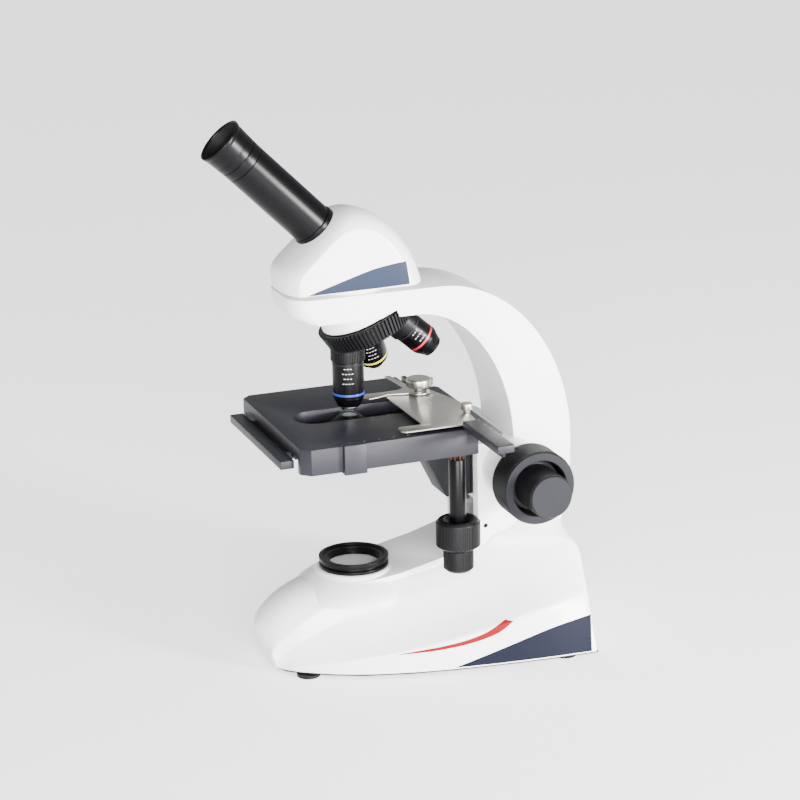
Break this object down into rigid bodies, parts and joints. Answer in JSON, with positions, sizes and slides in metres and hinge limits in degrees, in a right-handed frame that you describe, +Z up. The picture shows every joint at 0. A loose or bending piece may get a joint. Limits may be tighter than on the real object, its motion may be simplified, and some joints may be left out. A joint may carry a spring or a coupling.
{
  "type": "compound microscope",
  "caption": "Monocular compound microscope with an inclined eyepiece, revolving nosepiece, mechanical stage, coarse and fine focus and a lamp in the foot.",
  "frame": {"origin": "on the table, where the optical axis meets it", "axes": "+Z up along the optical axis, +Y towards the arm, +X the side of the stage drive knobs"},
  "size_m": [0.2083, 0.2443, 0.3745],
  "materials": {
    "white_enamel": "satin",
    "blue_grey_trim": "satin",
    "stage_grey": "matte",
    "black_lacquer": "gloss",
    "black_plastic": "satin",
    "grey_knob": "satin",
    "nickel": "brushed",
    "steel": "satin",
    "chrome_tip": "polished",
    "brass": "satin",
    "rubber": "matte",
    "optical_glass": "polished",
    "led_white": "matte",
    "circuit_green": "matte",
    "base_sheet": "matte"
  },
  "bodies": {
    "stand": {"stand_casting": "white_enamel", "base_plate": "base_sheet", "base_screws": "steel", "rubber_feet": "rubber", "base_trims": "blue_grey_trim", "lamp_collar": "black_lacquer", "lamp_lens": "optical_glass", "led_module": "led_white", "control_board": "circuit_green", "power_socket": "black_plastic", "guide_rails": "steel", "focus_bushings": "brass", "set_screws": "steel", "nosepiece_mount": "white_enamel", "turret_pivot": "steel"},
    "switch": {"power_switch": "black_plastic"},
    "dial": {"brightness_dial": "grey_knob"},
    "focus_carriage": {"focus_slide": "steel", "focus_rack": "brass", "stage_bracket": "stage_grey", "stage_guide": "stage_grey", "y_rack": "brass", "index_block": "stage_grey", "condenser_body": "black_lacquer", "condenser_lens": "optical_glass"},
    "iris": {"iris_ring": "black_lacquer"},
    "coarse_drive": {"coarse_shaft": "steel", "coarse_knob": "grey_knob"},
    "fine_drive": {"fine_shaft": "steel", "fine_knob": "grey_knob", "shaft_cap": "grey_knob"},
    "stage": {"stage_plate": "stage_grey", "x_guide": "stage_grey"},
    "y_drive": {"y_sleeve": "black_lacquer", "y_pinion": "brass", "y_knob": "grey_knob"},
    "x_drive": {"x_shaft": "steel", "x_knob": "grey_knob"},
    "x_carrier": {"x_bar": "stage_grey", "x_rack": "steel", "specimen_plate": "nickel", "holder_screws": "nickel", "clip_post": "nickel"},
    "clip": {"finger_clip": "nickel"},
    "turret": {"turret_disc": "black_lacquer", "grip_ring": "black_plastic", "objective_4x": "black_lacquer", "objective_10x": "black_lacquer", "objective_40x": "chrome_tip", "objective_lenses": "optical_glass"},
    "head": {"head_shell": "white_enamel", "head_trims": "blue_grey_trim", "head_ring": "white_enamel", "prism": "optical_glass", "eyepiece_tube": "black_lacquer"},
    "eyepiece": {"eyepiece_barrel": "black_plastic", "eye_cup": "rubber", "eyepiece_lenses": "optical_glass"}
  },
  "joints": [
    {"name": "focus_lift", "type": "slide", "parent": "stand", "child": "focus_carriage", "axis": [0, 0, 1], "range_m": [-0.0125, 0.0015]},
    {"name": "coarse_turn", "type": "hinge", "parent": "stand", "child": "coarse_drive", "pos_m": [0, 0.105, 0.126], "axis": [1, 0, 0], "range_deg": [-14.4, 119.4]},
    {"name": "fine_turn", "type": "hinge", "parent": "coarse_drive", "child": "fine_drive", "pos_m": [0, 0.105, 0.126], "axis": [1, 0, 0], "continuous": true},
    {"name": "y_slide", "type": "slide", "parent": "focus_carriage", "child": "stage", "axis": [0, 1, 0], "range_m": [-0.028, 0.001]},
    {"name": "y_knob_turn", "type": "hinge", "parent": "stage", "child": "y_drive", "pos_m": [0.052, 0.057, 0.12], "axis": [0, 0, 1], "range_deg": [-325, 15]},
    {"name": "x_slide", "type": "slide", "parent": "stage", "child": "x_carrier", "axis": [1, 0, 0], "range_m": [-0.046, 0.024]},
    {"name": "x_knob_turn", "type": "hinge", "parent": "stage", "child": "x_drive", "pos_m": [0.052, 0.057, 0.08], "axis": [0, 0, 1], "range_deg": [-460, 880]},
    {"name": "finger_clip_swing", "type": "hinge", "parent": "x_carrier", "child": "clip", "pos_m": [-0.0155, 0.056, 0.1735], "axis": [0, 0, 1], "range_deg": [-22, 4], "stiffness_Nm_per_rad": 0.02},
    {"name": "iris_turn", "type": "hinge", "parent": "focus_carriage", "child": "iris", "pos_m": [0, 0, 0.146], "axis": [0, 0, 1], "range_deg": [-25, 25]},
    {"name": "nosepiece_turn", "type": "hinge", "parent": "stand", "child": "turret", "pos_m": [0, 0, 0.2627], "axis": [0, 0.4115, -0.9114], "continuous": true},
    {"name": "head_turn", "type": "hinge", "parent": "stand", "child": "head", "pos_m": [0, 0, 0.2606], "axis": [0, 0, 1], "continuous": true},
    {"name": "eyepiece_turn", "type": "hinge", "parent": "head", "child": "eyepiece", "pos_m": [0, -0.0179, 0.2981], "axis": [0, -0.7071, 0.7071], "continuous": true},
    {"name": "brightness_turn", "type": "hinge", "parent": "stand", "child": "dial", "pos_m": [-0.0785, 0.03, 0.013], "axis": [1, 0, 0], "range_deg": [0, 270]},
    {"name": "switch_rock", "type": "hinge", "parent": "stand", "child": "switch", "pos_m": [0.024, 0.145, 0.022], "axis": [1, 0, 0], "range_deg": [-6, 6]}
  ],
  "couplings": [
    {"joint": "coarse_turn", "follows": "focus_lift", "rad_per_m": -166.67},
    {"joint": "y_knob_turn", "follows": "y_slide", "rad_per_m": 200},
    {"joint": "x_knob_turn", "follows": "x_slide", "rad_per_m": -333.33}
  ]
}
